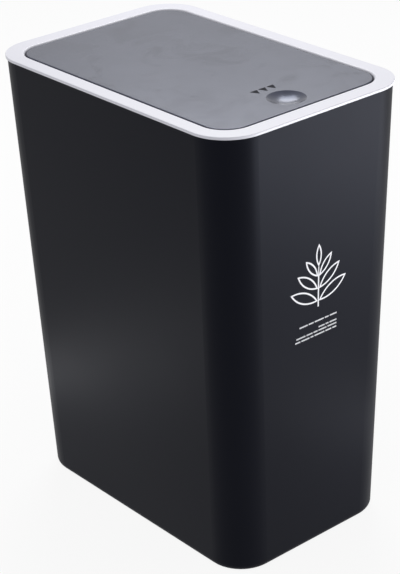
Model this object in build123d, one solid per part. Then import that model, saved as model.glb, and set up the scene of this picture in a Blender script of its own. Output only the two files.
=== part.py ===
from build123d import *

import os

# A slim kitchen bin with a push-to-open lid. Millimetres, +Z up, origin at the middle of the base.
# The short face towards -Y is the front: the lid is pressed there, and hinges at the +Y end.

# ---- Bucket ----
bucket_width = 169.0  # outside, across X, at the rim
bucket_length = 255.0  # outside, along Y, at the rim
bucket_height = 340.0
base_inset_x = 9.7  # how far each long side leans in between rim and base
base_inset_y = 10.1
rim_corner = 29.0  # upright corner radius at the rim
base_corner = 28.0  # upright corner radius at the base
base_round = 5.0  # edge between walls and base
rim_round = 0.8
bucket_wall = 2.2
bucket_floor = 2.6
floor_round = 4.0  # inside edge between walls and floor
foot_height = 2.0  # the floor is raised this much inside the foot ring
foot_width = 9.0
base_rib = 1.6
base_rib_pitch = 36.0

# ---- Rim frame: the flat white ring, its well and its skirt ----
ring_overhang = 1.3  # beyond the bucket's wall, all round
ring_thickness = 1.9
ring_side_width = 12.3  # the flat top, from outer edge to opening, along the long sides
ring_end_width = 13.8  # the same, at front and rear
ring_edge_round = 0.5
opening_corner = 19.8
opening_edge_round = 1.6
well_depth = 28.0  # from the ring's top to the inner frame
well_wall = 2.0
skirt_depth = 15.0
skirt_wall = 1.6
skirt_clearance = 0.6  # to the bucket's wall, where a bag is held
web_thickness = 1.4
web_pitch = 26.0
web_depth = 9.0

# ---- Frame screws, self-tapping pan head ----
screw_shank = 2.9
screw_head = 5.6
screw_head_height = 2.0
screw_head_round = 0.8
screw_recess = 2.8  # across the cross recess
screw_recess_slot = 0.8
screw_recess_depth = 1.0
screw_tip = 0.7  # chamfer at the shank's end
screw_play = 0.02  # round the shank in its pilot hole
boss_wall = 1.7
frame_screw_length = 10.0
side_screw_y = 58.0
end_screw_x = 38.0

# ---- Lid panel ----
lid_gap = 1.2  # all round, to the opening
lid_recess = 0.4  # the lid's top below the ring's top
lid_thickness = 2.2
lid_edge_round = 0.6
lip_depth = 9.0  # from the lid's top
lip_wall = 1.8
lid_rib = 1.3
lid_rib_depth = 3.4  # below the panel
lid_rib_pitch = 34.0
rib_to_leg = 8.5  # the last rib, in front of the lid springs' legs
dimple_diameter = 27.4
dimple_depth = 3.6
dimple_setback = 19.6  # its centre, from the lid's front edge

# ---- Hinge ----
hinge_setback = 19.0  # the rod's axis, from the lid's rear edge
hinge_drop = 5.4  # the rod's axis, below the lid's top
rod_diameter = 3.0
rod_play = 0.05  # running clearance round the rod
rod_end_play = 0.6
ear_wall = 1.9
ear_width = 5.0
ear_inset = 38.0  # centre of each inner ear, from the lid's side edge
rod_chamfer = 0.3
keeper_length = 9.0
keeper_play = 0.2

# ---- Lid springs, one torsion coil each side ----
spring_wire = 0.9
spring_turns = 5.0
spring_play = 0.25  # round the rod
spring_turn_gap = 0.05  # between neighbouring turns
spring_leg = 11.0
spring_to_ear = 1.0
spring_post = 5.0
spring_post_play = 0.3

# ---- Inner frame ----
inner_plate = 2.2
inner_clearance = 1.2  # to the bucket's wall
shelf_width = 9.0  # inside the well, at the sides and front
shelf_past_leg = 1.5  # rear shelf beyond the lid springs' legs
tab_margin = 5.0  # front tab beyond the buffers and the latch
mouth_corner = 14.0
collar_wall = 1.8
collar_depth = 9.0  # below the plate, round the mouth
key_wall = 1.6  # low wall that centres the inner frame in the well
key_height = 3.0
key_play = 0.3

# ---- Push latch ----
press_travel = 2.5  # the striker's travel while the lid is pressed
release_travel = 5.0  # the slider's further travel up when it lets go
slider_width = 11.4
slider_depth = 8.0
slider_play = 0.3
latch_wall = 1.5
latch_top_below_lid = 16.1  # the housing's top, below the lid's top
latch_height = 35.0
base_plate = 1.5
base_plug = 4.0
base_peg = 3.0
base_play = 0.1
barb = 0.8
barb_height = 1.8
barb_depth = 4.0
latch_ear_reach = 8.0
latch_ear_thickness = 2.0
latch_ear_depth = 10.0
latch_ear_round = 2.5
latch_edge_round = 0.7
latch_screw_length = 8.0
stem_width = 4.0
stem_depth = 5.0
head_width = 8.0
head_height = 4.5
head_play = 0.3
hook_height = 2.0
apex_play = 0.8
striker_plate_width = 25.0
striker_plate_depth = 11.0
striker_plate = 2.0
striker_screw_x = 8.8
striker_screw_length = 4.6
pad_below_dimple = 0.8
striker_plate_round = 2.7
head_waist = 1.1  # the head's widest part, below its shoulder
head_tip_width = 2.0
coil_wire = 0.6
coil_diameter = 4.4  # over the wire
coil_turns = 8.0
coil_play = 0.25
coil_seat = 7.0  # slider left above the coil's bore
slider_edge_round = 0.6
slider_below_groove = 2.4
wire_diameter = 1.2
wire_bend = 0.9
wire_channel_play = 0.25
cam_depth = 1.3
cam_width = 7.4
cam_corner = 1.8
groove_reach = 2.4  # beyond the wire's tip at each end of its travel
heart_width = 3.6
heart_height = 4.0
heart_horn = 1.1  # the heart's two upper points, each side of its notch
wire_tip_play = 0.2
wire_pivot_above_base = 5.0
wire_tip_above_pivot = 15.5

# ---- Lid buffers ----
buffer_diameter = 7.0
buffer_height = 4.0
buffer_peg = 3.0
buffer_post_wall = 1.0
buffer_round = 1.0
buffer_x = 29.0  # beside the latch
buffer_gap = 0.3  # left between lid and buffer when the lid is pressed

# ---- Places worked out from the sizes above ----
ring_top = bucket_height + ring_thickness
lid_top = ring_top - lid_recess
lid_underside = lid_top - lid_thickness
well_bottom = ring_top - well_depth
ring_outer_width = bucket_width + 2 * ring_overhang
ring_outer_length = bucket_length + 2 * ring_overhang
opening_width = ring_outer_width - 2 * ring_side_width
opening_length = ring_outer_length - 2 * ring_end_width
lid_width = opening_width - 2 * lid_gap
lid_length = opening_length - 2 * lid_gap
lid_corner = opening_corner - lid_gap
hinge_y = lid_length / 2 - hinge_setback
hinge_z = lid_top - hinge_drop
rod_radius = rod_diameter / 2
latch_y = -lid_length / 2 + dimple_setback
latch_top = lid_top - latch_top_below_lid
latch_bottom = latch_top - latch_height
head_shoulder = latch_top - hook_height - head_play
head_apex = head_shoulder - head_height
slider_top = head_apex - apex_play
wire_radius = wire_diameter / 2
wire_pivot_z = latch_bottom + wire_pivot_above_base
wire_tip_z = wire_pivot_z + wire_tip_above_pivot
groove_bottom = wire_tip_z - release_travel - groove_reach
slider_bottom = groove_bottom - slider_below_groove
press_lever = hinge_y - latch_y


def slab(width, length, corner, low, high):
    """An upright rounded-rectangle block between two heights."""
    return extrude(Pos(0, 0, low) * RectangleRounded(width, length, corner), high - low)


def block(size_x, size_y, low, high, at=(0, 0)):
    """A square-cornered block between two heights, centred on a point in plan."""
    return Pos(at[0], at[1], low) * extrude(Rectangle(size_x, size_y), high - low)


def peg(radius, low, high, at=(0, 0)):
    """An upright round bar between two heights."""
    return Pos(at[0], at[1], low) * extrude(Circle(radius), high - low)


def edges_at(solid, height):
    """The solid's edges that lie flat at one height."""
    return solid.edges().filter_by_position(Axis.Z, height - 0.001, height + 0.001)


def bucket_slice(height, inset):
    """The bucket's outline at a height, moved in by an inset."""
    lean = 1 - height / bucket_height
    width = bucket_width - 2 * base_inset_x * lean
    length = bucket_length - 2 * base_inset_y * lean
    corner = rim_corner - (rim_corner - base_corner) * lean
    outline = RectangleRounded(width - 2 * inset, length - 2 * inset, corner - inset)
    return Pos(0, 0, height) * outline


def bucket_form(low, high, inset):
    """A solid that follows the bucket's lean between two heights."""
    return loft([bucket_slice(low, inset), bucket_slice(high, inset)])


def spread(low, high, pitch):
    """Evenly spaced places between two limits, about a pitch apart, with none on the limits."""
    gaps = max(2, round((high - low) / pitch))
    step = (high - low) / gaps
    return [low + step * place for place in range(1, gaps)]


# ---- Screws ----
def screw(length):
    """A pan-head screw on +Z: its head's underside is at zero and its shank goes up."""
    head = extrude(Circle(screw_head / 2), -screw_head_height)
    head = fillet(edges_at(head, -screw_head_height), screw_head_round)
    recess = Rectangle(screw_recess, screw_recess_slot) + Rectangle(screw_recess_slot, screw_recess)
    head -= Pos(0, 0, -screw_head_height) * extrude(recess, screw_recess_depth)
    shank = extrude(Circle(screw_shank / 2), length)
    shank = chamfer(edges_at(shank, length), screw_tip)
    return head + shank


def frame_screw_places():
    """Where the frame screws stand, in the channel between well and skirt."""
    side = opening_width / 2 + well_wall + boss_wall
    end = opening_length / 2 + well_wall + boss_wall
    sides = [(x * side, y * side_screw_y) for x in (-1, 1) for y in (-1, 1)]
    ends = [(x * end_screw_x, y * end) for x in (-1, 1) for y in (-1, 1)]
    return sides + ends


def make_frame_screws():
    under = well_bottom - inner_plate
    screws = [Pos(x, y, under) * screw(frame_screw_length) for x, y in frame_screw_places()]
    return Compound(children=screws)


# ---- Bucket ----
def make_bucket():
    floor_top = foot_height + bucket_floor
    shell = bucket_form(0, bucket_height, 0)
    shell = fillet(edges_at(shell, bucket_height), rim_round)
    shell = fillet(edges_at(shell, 0), base_round)
    inside = bucket_form(floor_top, bucket_height, bucket_wall)
    shell -= fillet(edges_at(inside, floor_top), floor_round)
    recess = extrude(bucket_slice(0, foot_width), foot_height)
    shell -= recess
    # Thin ribs cross the raised floor from below, short of the ground.
    reach_x = bucket_width / 2 - base_inset_x - foot_width
    reach_y = bucket_length / 2 - base_inset_y - foot_width
    ribs = Part()
    for x in spread(-reach_x, reach_x, base_rib_pitch):
        ribs += block(base_rib, 2 * reach_y, foot_height / 2, foot_height, (x, 0))
    for y in spread(-reach_y, reach_y, base_rib_pitch):
        ribs += block(2 * reach_x, base_rib, foot_height / 2, foot_height, (0, y))
    return shell + (ribs & recess)


# ---- Rim frame ----
def bearing_faces():
    """The near and far faces, across X, of the bearing block beside the well."""
    inner = opening_width / 2 + well_wall
    skirt_inner = bucket_width / 2 - bucket_wall - skirt_clearance - skirt_wall
    lean = base_inset_x * skirt_depth / bucket_height
    return inner, skirt_inner - lean


def make_rim_frame():
    outer_corner = rim_corner + ring_overhang
    flange = slab(ring_outer_width, ring_outer_length, outer_corner, bucket_height, ring_top)
    flange = fillet(edges_at(flange, ring_top), ring_edge_round)
    opening = slab(opening_width, opening_length, opening_corner, bucket_height, ring_top)
    flange -= opening
    lip = [e for e in edges_at(flange, ring_top) if abs(e.center().Y) < opening_length / 2 + 0.01
           and abs(e.center().X) < opening_width / 2 + 0.01]
    flange = fillet(lip, opening_edge_round)
    outer = (opening_width + 2 * well_wall, opening_length + 2 * well_wall, opening_corner + well_wall)
    well_block = slab(*outer, well_bottom, bucket_height)
    well = well_block - slab(opening_width, opening_length, opening_corner, well_bottom, bucket_height)
    skirt_bottom = bucket_height - skirt_depth
    skirt_inset = bucket_wall + skirt_clearance
    skirt_form = bucket_form(skirt_bottom, bucket_height, skirt_inset)
    skirt = skirt_form - bucket_form(skirt_bottom, bucket_height, skirt_inset + skirt_wall)
    channel = bucket_form(skirt_bottom, bucket_height, skirt_inset + skirt_wall / 2)
    channel -= slab(*outer, skirt_bottom, bucket_height)
    webs = Part()
    web_low = bucket_height - web_depth
    for y in spread(-opening_length / 2, opening_length / 2, web_pitch):
        webs += block(bucket_width, web_thickness, web_low, bucket_height, (0, y))
    for x in spread(-opening_width / 2, opening_width / 2, web_pitch):
        webs += block(web_thickness, bucket_length, web_low, bucket_height, (x, 0))
    frame = flange + well + skirt + (webs & channel)
    boss_radius = screw_shank / 2 + boss_wall
    pilot = screw_shank / 2 + screw_play
    for place in frame_screw_places():
        frame += peg(boss_radius, well_bottom, bucket_height, place) - opening
        frame -= peg(pilot, well_bottom, well_bottom + frame_screw_length, place)
    near, far = bearing_faces()
    pocket_length = keeper_length + 2 * keeper_play
    inside_skirt = bucket_form(well_bottom, bucket_height, skirt_inset + skirt_wall / 2)
    for side in (-1, 1):
        middle = (side * (near + far) / 2, hinge_y)
        guide_length = pocket_length + 2 * web_thickness
        guide_middle = (side * (near + far + skirt_wall) / 2, hinge_y)
        guide = block(far - near + skirt_wall, guide_length, well_bottom, bucket_height, guide_middle)
        frame += guide & inside_skirt
        frame -= block(far - near, pocket_length, well_bottom, hinge_z, middle)
        slot = (side * (opening_width / 2 + well_wall / 2), hinge_y)
        frame -= block(2 * well_wall, rod_diameter + 2 * rod_play, well_bottom, hinge_z, slot)
    return frame - rod_bar(rod_play, far + skirt_wall / 4)


def rod_bar(play, reach):
    """A bar on the hinge axis, as thick as the rod with some play, to a reach each side."""
    bar = extrude(Plane.YZ * Circle(rod_radius + play), reach, both=True)
    return Pos(0, hinge_y, hinge_z) * bar


def make_rod_keeper(side):
    """A block that closes one end bearing from below, with half the rod's bore in its top."""
    near, far = bearing_faces()
    thick = far - near - 2 * keeper_play
    keeper = block(thick, keeper_length, well_bottom, hinge_z, (side * (near + far) / 2, hinge_y))
    tongue_width = rod_diameter + 2 * rod_play - 2 * keeper_play
    tongue_depth = well_wall + keeper_play
    tongue_x = side * (near + keeper_play - tongue_depth / 2)
    keeper += block(tongue_depth, tongue_width, well_bottom, hinge_z, (tongue_x, hinge_y))
    return keeper - rod_bar(rod_play, far + well_wall)


# ---- Inner frame ----
def mouth_outline(grow):
    """The mouth that rubbish goes through, with a tab kept at the front for the latch."""
    width = opening_width - 2 * shelf_width + 2 * grow
    front = -opening_length / 2 + shelf_width - grow
    rear = hinge_y - spring_leg - shelf_past_leg + grow
    mouth = Pos(0, (front + rear) / 2) * RectangleRounded(width, rear - front, mouth_corner + grow)
    tab_back = latch_y + housing_faces()[1] + latch_wall + tab_margin - grow
    tab_width = 2 * (buffer_x + buffer_diameter / 2 + buffer_post_wall + tab_margin - grow)
    tab_length = tab_back - front + shelf_width
    tab = Pos(0, tab_back - tab_length / 2) * Rectangle(tab_width, tab_length)
    cut = mouth - tab
    square = [v for v in cut.vertices() if abs(v.Y - tab_back) < 0.01]
    return fillet(square, tab_margin)


def housing_faces():
    """The latch housing's inside faces, along Y from the latch's middle: front and rear."""
    front = -slider_depth / 2 - slider_play
    rear = slider_depth / 2 + 2 * wire_channel_play + wire_diameter
    return front, rear


def latch_screw_places():
    out = slider_width / 2 + slider_play + latch_wall + latch_ear_reach / 2
    return [(-out, latch_y), (out, latch_y)]


def buffer_place(side):
    return (side * buffer_x, latch_y)


def buffer_top():
    """A buffer's top, just below the lid where it is when pressed."""
    return lid_underside - press_travel - buffer_gap


def spring_start():
    """Where a lid spring's coil begins, across X, beside the inner ear."""
    return lid_width / 2 - ear_inset + ear_width / 2 + spring_to_ear


def spring_length():
    """The coil's length: whole turns and the half turn between its two legs."""
    return (spring_turns + 0.5) * (spring_wire + spring_turn_gap)


def spring_leg_z():
    """How far each spring leg lies above or below the rod's axis."""
    return rod_radius + spring_play + spring_wire / 2


def make_inner_frame():
    plate_low = well_bottom - inner_plate
    plate = extrude(bucket_slice(plate_low, bucket_wall + inner_clearance), inner_plate)
    collar_low = plate_low - collar_depth
    collar = Pos(0, 0, collar_low) * extrude(mouth_outline(collar_wall), collar_depth)
    frame = plate + collar
    frame -= Pos(0, 0, collar_low) * extrude(mouth_outline(0), collar_depth + inner_plate)
    key = (opening_width - 2 * key_play, opening_length - 2 * key_play, opening_corner - key_play)
    key_top = well_bottom + key_height
    wall = slab(*key, well_bottom, key_top)
    wall -= slab(key[0] - 2 * key_wall, key[1] - 2 * key_wall, key[2] - key_wall, well_bottom, key_top)
    for side in (-1, 1):
        beside_keeper = (side * opening_width / 2, hinge_y)
        wall -= block(4 * key_wall, keeper_length, well_bottom, key_top, beside_keeper)
    frame += wall
    # Posts under the lower legs of the lid springs, and posts for the lid buffers.
    leg_low = hinge_z - spring_leg_z() - spring_wire / 2
    for side in (-1, 1):
        leg_end = (side * (spring_start() + spring_length()), hinge_y - spring_leg + spring_post / 2)
        frame += block(spring_post, spring_post, plate_low, leg_low - spring_post_play, leg_end)
        place = buffer_place(side)
        post_top = buffer_top() - buffer_height
        frame += peg(buffer_diameter / 2 + buffer_post_wall, plate_low, post_top, place)
        frame -= peg(buffer_peg / 2, post_top - buffer_height, post_top, place)
    clearance = screw_shank / 2 + screw_play
    for place in frame_screw_places():
        frame -= peg(clearance, plate_low, well_bottom, place)
    for place in latch_screw_places():
        low = well_bottom - latch_screw_length
        frame += peg(screw_shank / 2 + boss_wall, low, plate_low, place)
        frame -= peg(clearance, low, well_bottom, place)
    front, rear = housing_faces()
    hole_width = slider_width + 2 * (slider_play + latch_wall + key_play)
    hole_depth = rear - front + 2 * (latch_wall + key_play)
    hole_middle = (0, latch_y + (front + rear) / 2)
    return frame - block(hole_width, hole_depth, collar_low, key_top, hole_middle)


def make_lid_buffer(side):
    place = buffer_place(side)
    top = buffer_top()
    pad = peg(buffer_diameter / 2, top - buffer_height, top, place)
    pad = fillet(edges_at(pad, top), buffer_round)
    return pad + peg(buffer_peg / 2, top - 2 * buffer_height, top - buffer_height, place)


# ---- Lid ----
def make_lid_panel():
    panel = slab(lid_width, lid_length, lid_corner, lid_top - lip_depth, lid_top)
    panel = fillet(edges_at(panel, lid_top), lid_edge_round)
    inner = (lid_width - 2 * lip_wall, lid_length - 2 * lip_wall, lid_corner - lip_wall)
    hollow = slab(*inner, lid_top - lip_depth, lid_underside)
    panel -= hollow
    ribs = Part()
    rib_low = lid_underside - lid_rib_depth
    rib_front = latch_y + dimple_diameter / 2
    rib_back = hinge_y - spring_leg - rib_to_leg
    for y in [rib_front] + spread(rib_front, rib_back, lid_rib_pitch) + [rib_back]:
        ribs += block(lid_width, lid_rib, rib_low, lid_underside, (0, y))
    rib_middle = (rib_back + rib_front) / 2
    for x in spread(-lid_width / 2, lid_width / 2, lid_rib_pitch):
        ribs += block(lid_rib, rib_back - rib_front, rib_low, lid_underside, (x, rib_middle))
    panel += ribs & hollow
    # The dimple is a shallow dish, backed by a dish of the same thickness below the panel.
    rim = dimple_diameter / 2
    dish = (rim**2 + dimple_depth**2) / (2 * dimple_depth)
    ball = Pos(0, latch_y, lid_top - dimple_depth + dish)
    backing_low = lid_top - dimple_depth - lid_thickness
    backing = peg(rim + lid_thickness, backing_low, lid_underside, (0, latch_y))
    panel += backing & (ball * Sphere(dish + lid_thickness))
    pad_low = striker_seat()
    pad = block(striker_plate_width, striker_plate_depth, pad_low, lid_underside, (0, latch_y))
    panel += pad
    for x in (-striker_screw_x, striker_screw_x):
        depth = pad_low + striker_screw_length - striker_plate
        panel -= peg(screw_shank / 2 + screw_play, pad_low, depth, (x, latch_y))
    panel -= ball * Sphere(dish)
    # Ears on the rod: one against each side lip and one further in.
    ear_radius = rod_radius + rod_play + ear_wall
    profile = Circle(ear_radius) + Pos(0, hinge_drop / 2) * Rectangle(2 * ear_radius, hinge_drop)
    ear_face = Plane(origin=(0, hinge_y, hinge_z), x_dir=(0, 1, 0), z_dir=(1, 0, 0)) * profile
    cap = slab(lid_width, lid_length, lid_corner, hinge_z - ear_radius, lid_underside)
    for side in (-1, 1):
        for place in (lid_width / 2 - lip_wall - ear_width / 2, lid_width / 2 - ear_inset):
            ear = Pos(side * place - ear_width / 2, 0, 0) * extrude(ear_face, ear_width)
            panel += ear & cap
    return panel - rod_bar(rod_play, lid_width)


def striker_seat():
    """The flat seat under the dimple that the striker is screwed to."""
    return lid_top - dimple_depth - lid_thickness - pad_below_dimple


def make_lid_striker():
    """A screwed plate with a stem and an arrow head that the latch's arms close on."""
    seat = striker_seat()
    plate = block(striker_plate_width, striker_plate_depth, seat - striker_plate, seat, (0, latch_y))
    upright = plate.edges().filter_by(Axis.Z)
    plate = fillet(upright, striker_plate_round)
    half = head_width / 2
    stem = stem_width / 2
    tip = head_tip_width / 2
    waist = head_shoulder - head_waist
    right = [(stem, seat - striker_plate), (stem, head_shoulder), (half, head_shoulder), (half, waist)]
    right.append((tip, head_apex))
    left = [(-x, z) for x, z in reversed(right)]
    blade = Plane.XZ * make_face(Polyline(*right, *left, close=True))
    striker = plate + Pos(0, latch_y + stem_depth / 2, 0) * extrude(blade, stem_depth)
    for x in (-striker_screw_x, striker_screw_x):
        striker -= peg(screw_shank / 2 + screw_play, seat - striker_plate, seat, (x, latch_y))
    return striker


def make_striker_screws():
    under = striker_seat() - striker_plate
    places = (-striker_screw_x, striker_screw_x)
    return Compound(children=[Pos(x, latch_y, under) * screw(striker_screw_length) for x in places])


# ---- Hinge ----
def make_hinge_rod():
    rod = rod_bar(0, bearing_faces()[1] - rod_end_play)
    ends = rod.edges().filter_by(GeomType.CIRCLE)
    return chamfer(ends, rod_chamfer)


def make_lid_spring(side):
    """A torsion coil on the rod: its upper leg lifts the lid, its lower leg bears on a post."""
    mean = spring_leg_z()
    coil = Helix(spring_wire + spring_turn_gap, spring_length(), mean, lefthand=True)
    upper_leg = Line((coil @ 0) + (0, spring_leg, 0), coil @ 0)
    lower_leg = Line(coil @ 1, (coil @ 1) + (0, spring_leg, 0))
    path = Wire([upper_leg, coil, lower_leg])
    section = Plane(origin=path @ 0, z_dir=path % 0) * Circle(spring_wire / 2)
    spring = sweep(section, path=path, transition=Transition.TRANSFORMED)
    place = Plane(origin=(spring_start(), hinge_y, hinge_z), x_dir=(0, 0, 1), z_dir=(1, 0, 0))
    right = place * spring
    return right if side > 0 else mirror(right, about=Plane.YZ)


# ---- Push latch ----
def make_latch_housing():
    """The latch's sleeve, screwed on by its ears through a hole in the inner frame's tab."""
    front, rear = housing_faces()
    middle = (0, latch_y + (front + rear) / 2)
    inside = (slider_width + 2 * slider_play, rear - front)
    outside = (inside[0] + 2 * latch_wall, inside[1] + 2 * latch_wall)
    sleeve = block(*outside, latch_bottom, latch_top, middle)
    sleeve = fillet(sleeve.edges().filter_by(Axis.Z), latch_edge_round)
    ear_top = well_bottom + latch_ear_thickness
    across_ears = outside[0] + 2 * latch_ear_reach
    ears = block(across_ears, latch_ear_depth, well_bottom, ear_top, (0, latch_y))
    sleeve += fillet(ears.edges().filter_by(Axis.Z), latch_ear_round)
    sleeve -= block(*inside, latch_bottom, latch_top, middle)
    for place in latch_screw_places():
        sleeve -= peg(screw_shank / 2 + screw_play, well_bottom, ear_top, place)
    # Windows for the base's barbs, and the bore that the cam wire turns in.
    middle_z = latch_bottom + base_plug / 2
    half = barb_height / 2 + base_play
    window_depth = barb_depth + 2 * base_play
    sleeve -= block(across_ears, window_depth, middle_z - half, middle_z + half, (0, latch_y))
    bore = Plane(origin=(0, latch_y + rear, wire_pivot_z), z_dir=(0, 1, 0)) * Circle(wire_radius + rod_play)
    return sleeve - extrude(bore, latch_wall)


def make_latch_base():
    """The plug that closes the sleeve and seats the slider's spring."""
    front, rear = housing_faces()
    width = slider_width + 2 * (slider_play + latch_wall)
    depth = rear - front + 2 * latch_wall
    plate = block(width, depth, latch_bottom - base_plate, latch_bottom, (0, latch_y + (front + rear) / 2))
    plate = fillet(plate.edges().filter_by(Axis.Z), latch_edge_round)
    plug_front = front + base_play
    plug_rear = slider_depth / 2
    plug_width = slider_width + 2 * (slider_play - base_play)
    plug_middle = (0, latch_y + (plug_front + plug_rear) / 2)
    plug_top = latch_bottom + base_plug
    base = plate + block(plug_width, plug_rear - plug_front, latch_bottom, plug_top, plug_middle)
    barb_low = latch_bottom + base_plug / 2 - barb_height / 2
    base += block(plug_width + 2 * barb, barb_depth, barb_low, barb_low + barb_height, (0, latch_y))
    peg_radius = coil_diameter / 2 - coil_wire - coil_play
    return base + peg(peg_radius, latch_bottom, plug_top + base_peg, coil_place())


def coil_place():
    """The slider spring's axis in plan, centred in what the cam groove leaves of the slider."""
    return (0, latch_y - cam_depth / 2)


def make_latch_claw():
    """The slider: two arms hook over the striker's head, and a heart-shaped cam guides the wire."""
    slider = block(slider_width, slider_depth, slider_bottom, slider_top, (0, latch_y))
    slider = fillet(slider.edges().filter_by(Axis.Z), slider_edge_round)
    bore_top = slider_top - coil_seat
    slider -= peg(coil_diameter / 2 + coil_play, slider_bottom, bore_top, coil_place())
    half = slider_width / 2
    gap = head_width / 2 + head_play
    hook = stem_width / 2 + head_play
    arm = [(half, slider_top), (half, latch_top), (gap, latch_top), (hook, latch_top - hook_height / 2)]
    arm += [(hook, latch_top - hook_height), (gap, latch_top - hook_height), (gap, slider_top)]
    arm_face = Plane.XZ * make_face(Polyline(*arm, close=True))
    right_arm = Pos(0, latch_y + stem_depth / 2, 0) * extrude(arm_face, stem_depth)
    slider += right_arm + mirror(right_arm, about=Plane.YZ)
    face = latch_y + slider_depth / 2
    groove_top = wire_tip_z + press_travel + groove_reach
    groove_middle = Pos(0, (groove_bottom + groove_top) / 2)
    groove_outline = groove_middle * RectangleRounded(cam_width, groove_top - groove_bottom, cam_corner)
    notch = wire_tip_z - wire_radius - wire_tip_play
    lobe = heart_width / 2
    heart = [(0, notch), (heart_horn, wire_tip_z), (lobe, notch), (0, wire_tip_z - heart_height)]
    heart += [(-lobe, notch), (-heart_horn, wire_tip_z)]
    heart_outline = make_face(Polyline(*heart, close=True))
    groove = extrude(Plane.XZ * groove_outline, cam_depth) - extrude(Plane.XZ * heart_outline, cam_depth)
    return slider - Pos(0, face, 0) * groove


def make_latch_wire():
    """A bent wire: its lower end turns in the housing and its upper end runs round the cam."""
    run = latch_y + slider_depth / 2 + wire_channel_play + wire_radius
    tip = latch_y + slider_depth / 2 - cam_depth + wire_tip_play
    foot = latch_y + housing_faces()[1] + latch_wall - wire_tip_play
    corners = [(0, tip, wire_tip_z), (0, run, wire_tip_z), (0, run, wire_pivot_z), (0, foot, wire_pivot_z)]
    path = FilletPolyline(*corners, radius=wire_bend)
    section = Plane(origin=path @ 0, z_dir=path % 0) * Circle(wire_radius)
    return sweep(section, path=path)


def make_latch_spring():
    """The compression coil between the base and the slider."""
    low = latch_bottom + base_plug + coil_wire / 2
    high = slider_top - coil_seat - coil_wire / 2
    coil = Helix((high - low) / coil_turns, high - low, (coil_diameter - coil_wire) / 2)
    section = Plane(origin=coil @ 0, z_dir=coil % 0) * Circle(coil_wire / 2)
    return Pos(*coil_place(), low) * sweep(section, path=coil)


def make_latch_screws():
    above = well_bottom + latch_ear_thickness
    down = Rot(180, 0, 0) * screw(latch_screw_length)
    return Compound(children=[Pos(x, y, above) * down for x, y in latch_screw_places()])


def make_parts():
    """Every piece under its name, in the order that the bin is put together."""
    return {
        "bucket": make_bucket(),
        "rim_frame": make_rim_frame(),
        "lid_panel": make_lid_panel(),
        "lid_striker": make_lid_striker(),
        "striker_screws": make_striker_screws(),
        "hinge_rod": make_hinge_rod(),
        "lid_spring_left": make_lid_spring(-1),
        "lid_spring_right": make_lid_spring(1),
        "rod_keeper_left": make_rod_keeper(-1),
        "rod_keeper_right": make_rod_keeper(1),
        "inner_frame": make_inner_frame(),
        "frame_screws": make_frame_screws(),
        "lid_buffer_left": make_lid_buffer(-1),
        "lid_buffer_right": make_lid_buffer(1),
        "latch_housing": make_latch_housing(),
        "latch_screws": make_latch_screws(),
        "latch_claw": make_latch_claw(),
        "latch_wire": make_latch_wire(),
        "latch_spring": make_latch_spring(),
        "latch_base": make_latch_base(),
    }


os.makedirs("parts", exist_ok=True)
for name, piece in make_parts().items():
    export_step(piece, f"parts/{name}.step")
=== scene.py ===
import math

import bpy
from mathutils import Matrix, Vector


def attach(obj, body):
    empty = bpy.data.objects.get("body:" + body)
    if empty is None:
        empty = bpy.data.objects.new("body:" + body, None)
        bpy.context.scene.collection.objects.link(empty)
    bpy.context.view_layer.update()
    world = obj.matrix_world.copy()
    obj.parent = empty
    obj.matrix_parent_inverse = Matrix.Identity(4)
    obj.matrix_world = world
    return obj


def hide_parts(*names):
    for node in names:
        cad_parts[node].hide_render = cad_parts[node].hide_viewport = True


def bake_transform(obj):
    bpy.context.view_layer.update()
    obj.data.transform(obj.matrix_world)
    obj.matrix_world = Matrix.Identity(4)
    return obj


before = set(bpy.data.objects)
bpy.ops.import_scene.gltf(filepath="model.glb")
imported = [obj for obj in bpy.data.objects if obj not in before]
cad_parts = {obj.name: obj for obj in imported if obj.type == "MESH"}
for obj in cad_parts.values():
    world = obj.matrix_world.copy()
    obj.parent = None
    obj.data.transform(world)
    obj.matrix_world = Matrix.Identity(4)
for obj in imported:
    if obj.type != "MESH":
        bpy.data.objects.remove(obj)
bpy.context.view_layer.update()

# ---- Camera ----
# A long lens looks down on the front left corner from just under 1.4 metres away, and leans a
# touch to one side. The view is upright, so the sensor's 36 mm lie along its height.
look_azimuth = math.radians(-39.627)
look_elevation = math.radians(26.267)
look_roll = math.radians(-2.219)
look_distance = 1.3691
look_aim = Vector((0.0, 0.0, 0.16997))
aim_right = -0.0022
aim_up = -0.0022
sensor_mm = 36.0
lens_mm = 115.76
nearest_sight = 0.05
back = Vector((
    math.sin(look_azimuth) * math.cos(look_elevation),
    -math.cos(look_azimuth) * math.cos(look_elevation),
    math.sin(look_elevation)))
level_right = (-back).cross(Vector((0, 0, 1))).normalized()
level_up = level_right.cross(-back)
tilted_right = level_right * math.cos(look_roll) + level_up * math.sin(look_roll)
tilted_up = level_up * math.cos(look_roll) - level_right * math.sin(look_roll)
camera_place = look_aim + back * look_distance + tilted_right * aim_right + tilted_up * aim_up
camera_turn = Matrix((tilted_right, tilted_up, back)).transposed().to_4x4()
lens_data = bpy.data.cameras.new("camera")
lens_data.sensor_width = sensor_mm
lens_data.lens = lens_mm
lens_data.clip_start = nearest_sight
camera = bpy.data.objects.new("camera", lens_data)
camera.matrix_world = Matrix.Translation(camera_place) @ camera_turn
bpy.context.scene.collection.objects.link(camera)
bpy.context.scene.camera = camera
bpy.context.scene.view_settings.view_transform = "Standard"

# ---- Floor, backdrop and lamps ----
# A pale floor in a white studio, with a softbox behind the bin, whose reflection lies on the lid,
# a low one at the front right, and two faint strips that lift the walls' lower ends. The low
# lamps light the bin alone, so the floor stays even.
white_light = (1, 1, 1, 1)
floor_reach = 40.0
floor_squares = 8
floor_colour = (0.88, 0.88, 0.89, 1.0)
floor_white_share = 0.90
world_level = 0.58


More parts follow.
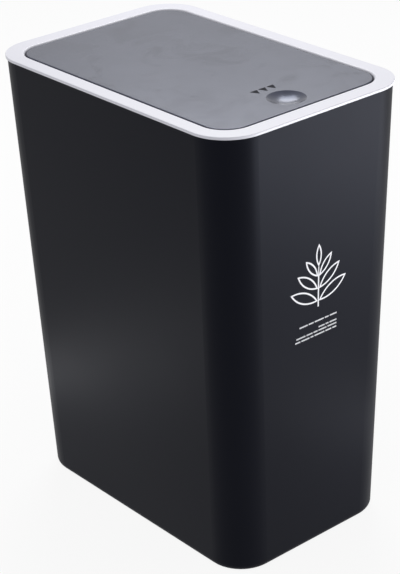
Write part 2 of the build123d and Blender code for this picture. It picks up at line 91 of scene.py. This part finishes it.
class Signal:
    """A value or colour that one socket gives. Sums on it add the Math nodes that work them out."""

    def __init__(self, socket):
        self.socket = socket

    def node(self, kind, settings, values, output=0):
        """Adds a node: its settings first, then the value or link of each of its sockets."""
        tree = self.socket.id_data
        made = tree.nodes.new(kind)
        for name, setting in settings.items():
            if name == "stops":
                points = made.color_ramp.elements
                while len(points) < len(setting):
                    points.new(1.0)
                for point, (place, shade) in zip(points, setting):
                    point.position = place
                    point.color = shade
            else:
                setattr(made, name, setting)
        for name, value in values.items():
            if isinstance(value, Signal):
                tree.links.new(value.socket, made.inputs[name])
            else:
                made.inputs[name].default_value = value
        return Signal(made.outputs[output])

    def maths(self, operation, first, second):
        return self.node("ShaderNodeMath", {"operation": operation}, {0: first, 1: second})

    def __add__(self, other):
        return self.maths("ADD", self, other)

    def __radd__(self, other):
        return self.maths("ADD", other, self)

    def __sub__(self, other):
        return self.maths("SUBTRACT", self, other)

    def __rsub__(self, other):
        return self.maths("SUBTRACT", other, self)

    def __mul__(self, other):
        return self.maths("MULTIPLY", self, other)

    def __rmul__(self, other):
        return self.maths("MULTIPLY", other, self)


def seen_directly(light_path):
    """One where the eye, a reflection or a view through glass meets the surface, else nought."""
    camera_ray = Signal(light_path.outputs["Is Camera Ray"])
    glossy_ray = Signal(light_path.outputs["Is Glossy Ray"])
    glass_ray = Signal(light_path.outputs["Is Transmission Ray"])
    eye_or_gloss = camera_ray.maths("MAXIMUM", camera_ray, glossy_ray)
    return eye_or_gloss.maths("MAXIMUM", eye_or_gloss, glass_ray)


bpy.ops.object.select_all(action="DESELECT")
bpy.ops.mesh.primitive_grid_add(
    x_subdivisions=floor_squares, y_subdivisions=floor_squares, size=floor_reach)
floor = bpy.context.object
floor.name = "floor"
floor_paper = bpy.data.materials.new("floor_paper")
floor_paper.use_nodes = True
paper_nodes = floor_paper.node_tree.nodes
paper_nodes.clear()
paper_sight = seen_directly(paper_nodes.new("ShaderNodeLightPath"))
lit_paper = paper_sight.node("ShaderNodeBsdfDiffuse", {}, {"Color": floor_colour})
white_paper = paper_sight.node("ShaderNodeEmission", {}, {"Color": white_light, "Strength": 1.0})
paper = paper_sight.node(
    "ShaderNodeMixShader", {}, {0: paper_sight * floor_white_share, 1: lit_paper, 2: white_paper})
paper_sheet = paper_nodes.new("ShaderNodeOutputMaterial")
floor_paper.node_tree.links.new(paper.socket, paper_sheet.inputs["Surface"])
floor.data.materials.append(floor_paper)

surround = bpy.data.worlds.new("surround")
surround.use_nodes = True
surround_nodes = surround.node_tree.nodes
surround_nodes.clear()
surround_sight = seen_directly(surround_nodes.new("ShaderNodeLightPath"))
surround_level = surround_sight * (1.0 - world_level) + world_level
surround_glow = surround_sight.node(
    "ShaderNodeBackground", {}, {"Color": white_light, "Strength": surround_level})
surround_out = surround_nodes.new("ShaderNodeOutputWorld")
surround.node_tree.links.new(surround_glow.socket, surround_out.inputs["Surface"])
bpy.context.scene.world = surround


def softbox(name, place, aim, width, height, watts):
    """A rectangular lamp with a diffusing cloth, turned to face a point."""
    lamp = bpy.data.lights.new(name, "AREA")
    lamp.shape = "RECTANGLE"
    lamp.size = width
    lamp.size_y = height
    lamp.energy = watts
    holder = bpy.data.objects.new(name, lamp)
    holder.location = place
    holder.rotation_euler = (Vector(aim) - Vector(place)).to_track_quat("-Z", "Y").to_euler()
    holder.visible_camera = False
    bpy.context.scene.collection.objects.link(holder)
    return holder


softbox("rear_softbox", place=(0.60, 0.63, 1.15), aim=(0, 0, 0.34),
        width=0.50, height=0.60, watts=7.1)

off_the_floor = bpy.data.collections.new("off_the_floor")
off_the_floor.objects.link(floor)
off_the_floor.collection_objects[0].light_linking.link_state = "EXCLUDE"
for low_lamp in (
        softbox("front_right_softbox", place=(0.36, -0.50, 0.12), aim=(0.02, -0.12, 0.34),
                width=0.40, height=0.10, watts=2.5),
        softbox("left_strip", place=(-0.165, 0.18, 0.012), aim=(-0.07, 0.07, 0.06),
                width=0.20, height=0.02, watts=0.055),
        softbox("right_strip", place=(0.13, -0.20, 0.012), aim=(0.05, -0.12, 0.05),
                width=0.12, height=0.02, watts=0.03)):
    low_lamp.light_linking.receiver_collection = off_the_floor

# ---- Bucket ----
# One injection moulding in near-black polypropylene, drawn in towards the base, with a fine
# satin grain on its walls and a foot ring round its raised floor.
charcoal_colour = (0.0048, 0.0050, 0.0073, 1.0)
# The reflections are tinted bluish to stand in for the cool cast of the studio light: a painted
# sheen colour.
charcoal_painted_sheen_tint = (0.60, 0.68, 1.0, 1.0)
charcoal_roughness = 0.43
charcoal_flow_size = 0.09
charcoal_grain_size = 0.00045
charcoal_grain_depth = 0.00002
plastic_ior = 1.49


def start_finish(name, **steady):
    """A new finish: its shader with the steady values set, and the place on the piece."""
    finish = bpy.data.materials.new(name)
    finish.use_nodes = True
    shader = finish.node_tree.nodes["Principled BSDF"]
    for socket, value in steady.items():
        shader.inputs[socket.replace("_", " ")].default_value = value
    coordinates = finish.node_tree.nodes.new("ShaderNodeTexCoord")
    return finish, shader, Signal(coordinates.outputs["Object"])


def grain(place, size, detail=2.0):
    """An even random grain, from nought to one, whose grains are about one size across."""
    return place.node(
        "ShaderNodeTexNoise", {}, {"Vector": place, "Scale": 1.0 / size, "Detail": detail})


def bumped(height, depth, strength):
    """The normal of a surface whose relief goes up by a depth in metres where the height is one."""
    return height.node(
        "ShaderNodeBump", {}, {"Height": height, "Distance": depth, "Strength": strength})


def shaded(mask, dark, light):
    """A colour that goes from dark to light as the mask goes from nought to one."""
    return mask.node("ShaderNodeMix", {"data_type": "RGBA"}, {0: mask, 6: dark, 7: light}, output=2)


def feed(finish, shader, **varying):
    """Links the signals that vary over the surface to the shader's sockets."""
    for socket, signal in varying.items():
        finish.node_tree.links.new(signal.socket, shader.inputs[socket.replace("_", " ")])


def dress(finish, *names):
    """Gives a finish to pieces that keep their shape."""
    for name in names:
        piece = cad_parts[name]
        piece.data.materials.clear()
        piece.data.materials.append(finish)


def tinted(colour, factor):
    """A colour made lighter or darker by a factor."""
    return tuple(part * factor for part in colour[:3]) + (1.0,)


def mottled(mask, colour, least, most):
    """A colour whose lightness goes from the least factor to the most as the mask does."""
    return shaded(mask, tinted(colour, least), tinted(colour, most))


charcoal, charcoal_shader, charcoal_place = start_finish(
    "charcoal_polypropylene", Specular_IOR_Level=0.08, IOR=plastic_ior,
    Specular_Tint=charcoal_painted_sheen_tint)
charcoal_flow = grain(charcoal_place, charcoal_flow_size)
charcoal_grain = grain(charcoal_place, charcoal_grain_size)
feed(charcoal, charcoal_shader,
     Base_Color=mottled(charcoal_flow, charcoal_colour, least=0.85, most=1.15),
     Roughness=charcoal_flow * 0.06 + charcoal_roughness,
     Normal=bumped(charcoal_grain, charcoal_grain_depth, strength=0.5))
dress(charcoal, "bucket")

# ---- Print on the bucket's front ----
# White pad printing on the front wall, a few hundredths of a millimetre thick: a sprig of leaves
# in thin lines, over four rows of fine ticks set in groups. It follows the wall's lean.
ink_thickness = 0.00008
ink_in_wall = 0.00002
ink_colour = (0.80, 0.80, 0.84, 1.0)
ink_roughness = 0.5
ink_speck_size = 0.0008
line_width = 0.00115
wall_front_at_floor = -0.1174
wall_lean = math.atan(0.0101 / 0.340)
leaf_fullness = 0.31
leaf_sides = 192
leaf_weld = 0.00001
stem_height = 0.0310
stem_cuts = 6
stem_tip_from = 0.8
stem_tip_narrowing = 0.7
# The leaf at the top and then the pairs: the root's height, the turn from upright, the length.
sprig_leaves = [(stem_height, 0.0, 0.0172), (0.0235, 38.0, 0.0190), (0.0140, 52.0, 0.0245),
                (0.0045, 64.0, 0.0285)]
sprig_low = 0.1960
tick_width = 0.00068
tick_height = 0.00112
tick_step = 0.00096
tick_round = 0.00015
rows_right = 0.0180
# Each row of ticks: its height above the floor, and how many ticks each group has.
tick_rows = [(0.1850, (8, 5, 9, 4, 7)), (0.1797, (6, 3, 7)),
             (0.1770, (9, 6, 4, 8, 9)), (0.1742, (5, 8, 3, 10, 6, 4))]


def alone(piece):
    """Selects one piece and nothing else."""
    bpy.ops.object.select_all(action="DESELECT")
    piece.select_set(True)
    bpy.context.view_layer.objects.active = piece


def placed(piece, place=(0, 0, 0), turn=(0, 0, 0), size=(1, 1, 1)):
    """Sizes, turns and moves a piece, with its new place held in its mesh."""
    alone(piece)
    piece.location = place
    piece.rotation_euler = turn
    piece.scale = size
    bpy.ops.object.transform_apply(location=True, rotation=True, scale=True)


def start_piece(name, add, **measures):
    """Adds a primitive at its size and place, with its place in its mesh."""
    bpy.ops.object.select_all(action="DESELECT")
    add(**measures)
    piece = bpy.context.object
    piece.name = name
    piece.data.name = name
    bpy.ops.object.transform_apply(location=True, rotation=True, scale=True)
    return piece


def choose(piece, test):
    """Goes into edit mode with the corners selected whose place passes a test."""
    bpy.context.view_layer.objects.active = piece
    if bpy.context.mode != "EDIT_MESH":
        bpy.ops.object.mode_set(mode="EDIT")
    bpy.ops.mesh.select_mode(type="VERT")
    bpy.ops.mesh.select_all(action="DESELECT")
    bpy.ops.object.mode_set(mode="OBJECT")
    for corner in piece.data.vertices:
        corner.select = test(corner.co)
    bpy.ops.object.mode_set(mode="EDIT")


def modified(piece, kind, **settings):
    """Finishes a piece with one modifier, which is applied."""
    alone(piece)
    modifier = piece.modifiers.new(kind.lower(), kind)
    for name, value in settings.items():
        setattr(modifier, name, value)
    bpy.ops.object.modifier_apply(modifier=modifier.name)


def copied(piece, **where):
    """A copy with its own mesh, sized, turned and moved."""
    alone(piece)
    bpy.ops.object.duplicate()
    twin = bpy.context.object
    placed(twin, **where)
    return twin


def joined(name, pieces):
    """Several pieces made one."""
    bpy.ops.object.select_all(action="DESELECT")
    for piece in pieces:
        piece.select_set(True)
    bpy.context.view_layer.objects.active = pieces[0]
    bpy.ops.object.join()
    whole = bpy.context.object
    whole.name = name
    whole.data.name = name
    return whole


def printed(piece, thickness):
    """Turns flat ink at height nought face up, and then gives it its thickness upwards."""
    choose(piece, lambda corner: False)
    bpy.ops.mesh.select_mode(type="FACE")
    bpy.ops.object.mode_set(mode="OBJECT")
    for face in piece.data.polygons:
        face.select = face.normal.z < 0
    bpy.ops.object.mode_set(mode="EDIT")
    bpy.ops.mesh.flip_normals()
    bpy.ops.object.mode_set(mode="OBJECT")
    modified(piece, "SOLIDIFY", thickness=thickness, offset=1.0)


def leaf_outline(length):
    """A leaf drawn as one line, root at nought: a ring cut straight and mirrored on the cut."""
    half_length = length / 2
    half_width = half_length * leaf_fullness
    arc = (half_length ** 2 + half_width ** 2) / (2 * half_width)
    leaf = start_piece("leaf", bpy.ops.mesh.primitive_circle_add, vertices=leaf_sides, radius=arc,
                       fill_type="NGON", location=(half_width - arc, half_length, 0))
    choose(leaf, lambda corner: True)
    bpy.ops.mesh.inset(thickness=line_width)
    bpy.ops.mesh.delete(type="FACE")
    choose(leaf, lambda corner: True)
    bpy.ops.mesh.bisect(plane_co=(0, 0, 0), plane_no=(1, 0, 0), clear_inner=True)
    bpy.ops.object.mode_set(mode="OBJECT")
    modified(leaf, "MIRROR", use_axis=(True, False, False), merge_threshold=leaf_weld)
    return leaf


leaves = []
for root, angle, length in sprig_leaves:
    leaf = leaf_outline(length)
    sides = (-1, 1) if angle else (0,)
    for side in sides:
        leaves.append(copied(leaf, place=(side * line_width / 2, root, 0),
                             turn=(0, 0, -side * math.radians(angle))))
    bpy.data.objects.remove(leaf)
sprig = joined("front_sprig", leaves)
stem = start_piece("stem", bpy.ops.mesh.primitive_plane_add, size=1.0, location=(0, 0.5, 0))
choose(stem, lambda corner: True)
bpy.ops.transform.resize(value=(line_width, stem_height, 1), center_override=(0, 0, 0))
bpy.ops.mesh.subdivide(number_cuts=stem_cuts)
choose(stem, lambda corner: corner.y > stem_height * stem_tip_from)
bpy.ops.transform.resize(value=(stem_tip_narrowing, 1, 1), center_override=(0, 0, 0))
bpy.ops.object.mode_set(mode="OBJECT")
sprig = joined("front_sprig", [sprig, stem])
tick = start_piece("tick", bpy.ops.mesh.primitive_plane_add, size=1.0)
choose(tick, lambda corner: True)
bpy.ops.transform.resize(value=(tick_width, tick_height, 1), center_override=(0, 0, 0))
bpy.ops.mesh.bevel(offset=tick_round, segments=2, affect="VERTICES")
bpy.ops.object.mode_set(mode="OBJECT")
groups = []
for height, counts in tick_rows:
    steps = sum(counts) + len(counts) - 1
    left = rows_right - steps * tick_step + tick_step / 2
    for count in counts:
        group = copied(tick, place=(left, height - sprig_low, 0))
        modified(group, "ARRAY", count=count, use_relative_offset=False, use_constant_offset=True,
                 constant_offset_displace=(tick_step, 0, 0))
        groups.append(group)
        left += (count + 1) * tick_step
bpy.data.objects.remove(tick)
front_print = joined("front_print", [sprig] + groups)
printed(front_print, ink_thickness)
wall_y = wall_front_at_floor - sprig_low * math.tan(wall_lean) + ink_in_wall
placed(front_print, place=(0, wall_y, sprig_low), turn=(math.radians(90) + wall_lean, 0, 0))
ink, ink_shader, ink_place = start_finish("white_ink", Specular_IOR_Level=0.3)
ink_cover = grain(ink_place, ink_speck_size, detail=3.0)
feed(ink, ink_shader,
     Base_Color=mottled(ink_cover, ink_colour, least=0.94, most=1.0),
     Roughness=ink_cover * 0.1 + ink_roughness)
front_print.data.materials.append(ink)
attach(front_print, "bin")

# ---- Rim frame ----
# The white frame that drops into the bucket's rim: a flat ring with rounded edges, a well for the
# lid and a skirt. Moulded in one piece of semi-gloss polypropylene.
white_colour = (0.79, 0.79, 0.865, 1.0)
white_roughness = 0.30
white_flow_size = 0.05
white_grain_size = 0.0006
white_grain_depth = 0.00001
white, white_shader, white_place = start_finish(
    "white_polypropylene", Specular_IOR_Level=0.25, IOR=plastic_ior)
white_flow = grain(white_place, white_flow_size)
feed(white, white_shader,
     Base_Color=mottled(white_flow, white_colour, least=0.985, most=1.0),
     Roughness=white_flow * 0.08 + white_roughness,
     Normal=bumped(grain(white_place, white_grain_size), white_grain_depth, strength=0.4))
dress(white, "rim_frame")

# ---- Hinge rod ----
# A plain rod of zinc-plated steel through the lid's ears, near the rear edge. Its ends lie in
# open bearings in the rim frame.
zinc_colour = (0.58, 0.58, 0.60, 1.0)
zinc_roughness = 0.25
zinc_spangle_size = 0.002
zinc, zinc_shader, zinc_place = start_finish("zinc_plated_steel", Metallic=1.0)
zinc_flow = grain(zinc_place, zinc_spangle_size, detail=4.0)
feed(zinc, zinc_shader,
     Base_Color=mottled(zinc_flow, zinc_colour, least=0.85, most=1.0),
     Roughness=zinc_flow * 0.2 + zinc_roughness)
dress(zinc, "hinge_rod")

# ---- Lid springs ----
# A torsion coil of bright spring wire round each end of the rod. The leg nearer the middle lifts
# the lid and the outer leg bears on the inner frame, so the turns unwind as the lid opens.
hinge_place = Vector((0, 0.0948, 0.3361))
lid_spring_wire = 0.00090
lid_spring_mean = 0.00220
lid_spring_turns = 5.5
lid_spring_length = 0.005225
lid_spring_lower_leg = 0.043025
lid_spring_leg = 0.0110
wire_sides = 12
steps_a_turn = 24
wire_seam = 0.000001
wire_reach = lid_spring_wire * 0.52
wire_smooth_angle = math.radians(35)
wire_colour = (0.42, 0.42, 0.44, 1.0)
wire_roughness = 0.22
wire_drawing_size = 0.0006
wire, wire_shader, wire_place = start_finish("spring_wire", Metallic=1.0)
wire_drawing = grain(wire_place, wire_drawing_size, detail=3.0)
feed(wire, wire_shader,
     Base_Color=mottled(wire_drawing, wire_colour, least=0.8, most=1.0),
     Roughness=wire_drawing * 0.15 + wire_roughness)


def drawn_out(piece, test, move):
    """Draws an open end of a wire out by a move, and closes it."""
    choose(piece, test)
    bpy.ops.mesh.extrude_region_move(TRANSFORM_OT_translate={"value": move})
    bpy.ops.mesh.edge_face_add()
    bpy.ops.object.mode_set(mode="OBJECT")


def settled(piece, place):
    """Moves a finished wire to its place, with its faces outwards, in a steady order and smooth."""
    placed(piece, place=place)
    choose(piece, lambda corner: True)
    bpy.ops.mesh.normals_make_consistent(inside=False)
    bpy.ops.mesh.sort_elements(type="CURSOR_DISTANCE", elements={"FACE"})
    bpy.ops.object.mode_set(mode="OBJECT")
    bpy.ops.object.shade_smooth_by_angle(angle=wire_smooth_angle)


lid_spring_steps = int(steps_a_turn * lid_spring_turns)
spring_right = start_piece(
    "lid_coil_right", bpy.ops.mesh.primitive_circle_add, vertices=wire_sides,
    radius=lid_spring_wire / 2, location=(0, 0, -lid_spring_mean),
    rotation=(math.radians(90), 0, 0))
modified(spring_right, "SCREW", axis="X", angle=math.radians(360 * lid_spring_turns),
         screw_offset=-lid_spring_length, steps=lid_spring_steps, render_steps=lid_spring_steps,
         use_merge_vertices=False)
drawn_out(spring_right,
          lambda corner: abs(corner.y) < wire_seam and corner.z < 0 and corner.x > -wire_reach,
          (0, -lid_spring_leg, 0))
drawn_out(spring_right,
          lambda corner: (abs(corner.y) < wire_seam and corner.z > 0
                          and corner.x < wire_reach - lid_spring_length),
          (0, -lid_spring_leg, 0))
spring_left = copied(spring_right, size=(-1, 1, 1))
spring_left.name = "lid_coil_left"
for spring, side in ((spring_left, -1), (spring_right, 1)):
    settled(spring, hinge_place + Vector((side * lid_spring_lower_leg, 0, 0)))
    spring.data.materials.append(wire)
    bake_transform(spring)
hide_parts("lid_spring_left")
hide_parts("lid_spring_right")

# ---- Lid panel ----
# The grey lid that is pressed at its thumb dish: a flat satin moulding with a short lip, ears for
# the rod and bosses for the striker's screws. Its face carries faint finger smudges.
grey_colour = (0.055, 0.057, 0.079, 1.0)
# The reflections are tinted bluish to stand in for the cool cast of the studio light: a painted
# sheen colour.
grey_painted_sheen_tint = (0.55, 0.65, 1.0, 1.0)
grey_roughness = 0.232
grey_flow_size = 0.03
grey_grain_size = 0.0004
grey_grain_depth = 0.000015
smudge_stops = [(0.50, (0, 0, 0, 1)), (0.74, (1, 1, 1, 1))]
grey, grey_shader, grey_place = start_finish(
    "grey_polypropylene", Specular_IOR_Level=0.45, IOR=plastic_ior, Specular_Tint=grey_painted_sheen_tint)
grey_flow = grain(grey_place, grey_flow_size, detail=4.0)
smudge_cloud = grey_place.node(
    "ShaderNodeTexNoise", {},
    {"Vector": grey_place, "Scale": 26.0, "Detail": 4.0, "Roughness": 0.58, "Distortion": 1.1})
smudges = smudge_cloud.node("ShaderNodeValToRGB", {"stops": smudge_stops}, {"Fac": smudge_cloud})
feed(grey, grey_shader,
     Base_Color=shaded(smudges, mottled(grey_flow, grey_colour, least=0.93, most=1.06),
                       tinted(grey_colour, 0.90)),
     Roughness=grey_flow * 0.04 - smudges * 0.05 + grey_roughness,
     Normal=bumped(grain(grey_place, grey_grain_size), grey_grain_depth, strength=0.5))
dress(grey, "lid_panel")

# ---- Press mark on the lid ----
# Three small rounded triangles in matt dark ink behind the thumb dish. They point to it and show
# where the lid is pressed.
mark_colour = (0.020, 0.020, 0.026, 1.0)
mark_roughness = 0.8
pointer_reach = 0.0044
pointer_narrowing = 0.84
pointer_round = 0.0006
pointer_step = 0.0074
pointers_y = -0.0716
lid_face_z = 0.3415
pointer = start_piece("pointer", bpy.ops.mesh.primitive_circle_add, vertices=3,
                      radius=pointer_reach, fill_type="NGON", rotation=(0, 0, math.radians(180)))
choose(pointer, lambda corner: True)
bpy.ops.transform.resize(value=(pointer_narrowing, 1, 1), center_override=(0, 0, 0))
bpy.ops.mesh.bevel(offset=pointer_round, segments=3, affect="VERTICES")
bpy.ops.object.mode_set(mode="OBJECT")
pointers = [copied(pointer, place=(step * pointer_step, 0, 0)) for step in (-1, 0, 1)]
bpy.data.objects.remove(pointer)
press_mark = joined("press_mark", pointers)
printed(press_mark, ink_thickness)
placed(press_mark, place=(0, pointers_y, lid_face_z - ink_in_wall))
dark_ink, dark_ink_shader, dark_ink_place = start_finish("dark_ink", Specular_IOR_Level=0.1)
dark_ink_cover = grain(dark_ink_place, ink_speck_size, detail=3.0)
feed(dark_ink, dark_ink_shader,
     Base_Color=mottled(dark_ink_cover, mark_colour, least=1.0, most=1.5),
     Roughness=dark_ink_cover * 0.1 + mark_roughness)
press_mark.data.materials.append(dark_ink)
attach(press_mark, "lid")

# ---- Lid striker ----
# A stem with an arrow head, moulded in natural acetal and held under the dish by two screws. The
# latch's arms close round its head.
acetal_colour = (0.70, 0.70, 0.67, 1.0)
acetal_roughness = 0.3
acetal_flow_size = 0.004
acetal, acetal_shader, acetal_place = start_finish("natural_acetal", Specular_IOR_Level=0.45)
acetal_flow = grain(acetal_place, acetal_flow_size, detail=3.0)
feed(acetal, acetal_shader,
     Base_Color=mottled(acetal_flow, acetal_colour, least=0.93, most=1.0),
     Roughness=acetal_flow * 0.1 + acetal_roughness)
dress(acetal, "lid_striker")
dress(zinc, "striker_screws")

# ---- Inner frame ----
# The black lower frame with the mouth that rubbish goes through. Eight screws hold it under the
# rim frame, and two keepers on it close the rod's bearings.
black_colour = (0.012, 0.012, 0.013, 1.0)
black_roughness = 0.45
black_flow_size = 0.02
black_grain_size = 0.0005
black_grain_depth = 0.00002
black, black_shader, black_place = start_finish("black_polypropylene", Specular_IOR_Level=0.4)
black_flow = grain(black_place, black_flow_size, detail=3.0)
feed(black, black_shader,
     Base_Color=mottled(black_flow, black_colour, least=1.0, most=1.5),
     Roughness=black_flow * 0.1 + black_roughness,
     Normal=bumped(grain(black_place, black_grain_size), black_grain_depth, strength=0.5))
dress(black, "rod_keeper_left", "rod_keeper_right", "inner_frame")
dress(zinc, "frame_screws")

# ---- Lid buffers ----
# Two soft rubber plugs in posts on the inner frame. They stop the lid when it is pressed.
rubber_colour = (0.030, 0.030, 0.032, 1.0)
rubber_roughness = 0.75
rubber_flow_size = 0.001
rubber, rubber_shader, rubber_place = start_finish("soft_rubber", Specular_IOR_Level=0.3)
rubber_flow = grain(rubber_place, rubber_flow_size, detail=3.0)
feed(rubber, rubber_shader,
     Base_Color=mottled(rubber_flow, rubber_colour, least=1.0, most=1.4),
     Roughness=rubber_flow * 0.1 + rubber_roughness)
dress(rubber, "lid_buffer_left", "lid_buffer_right")

# ---- Push latch ----
# A sleeve of black polypropylene on the inner frame's tab, closed by a plug. In it an acetal
# slider with two hooked arms runs on a bent wire that follows its cam, against a small coil.
latch_coil_y = -0.09485
latch_coil_low = 0.2947
latch_coil_high = 0.3105
latch_coil_wire = 0.00060
latch_coil_mean = 0.00190
latch_coil_turns = 8
dress(black, "latch_housing", "latch_base")
dress(acetal, "latch_claw")
dress(wire, "latch_wire")
dress(zinc, "latch_screws")
latch_coil_length = latch_coil_high - latch_coil_low
latch_coil_steps = steps_a_turn * latch_coil_turns
latch_coil = start_piece(
    "latch_coil", bpy.ops.mesh.primitive_circle_add, vertices=wire_sides,
    radius=latch_coil_wire / 2, location=(latch_coil_mean, 0, 0),
    rotation=(math.radians(90), 0, 0))
modified(latch_coil, "SCREW", axis="Z", angle=math.radians(360 * latch_coil_turns),
         screw_offset=latch_coil_length, steps=latch_coil_steps, render_steps=latch_coil_steps,
         use_merge_vertices=False)
for end_z in (0.0, latch_coil_length):
    choose(latch_coil, lambda corner: (abs(corner.y) < wire_seam and corner.x > 0
                                       and abs(corner.z - end_z) < latch_coil_wire))
    bpy.ops.mesh.edge_face_add()
bpy.ops.object.mode_set(mode="OBJECT")
settled(latch_coil, (0, latch_coil_y, latch_coil_low))
latch_coil.data.materials.append(wire)
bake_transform(latch_coil)
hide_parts("latch_spring")
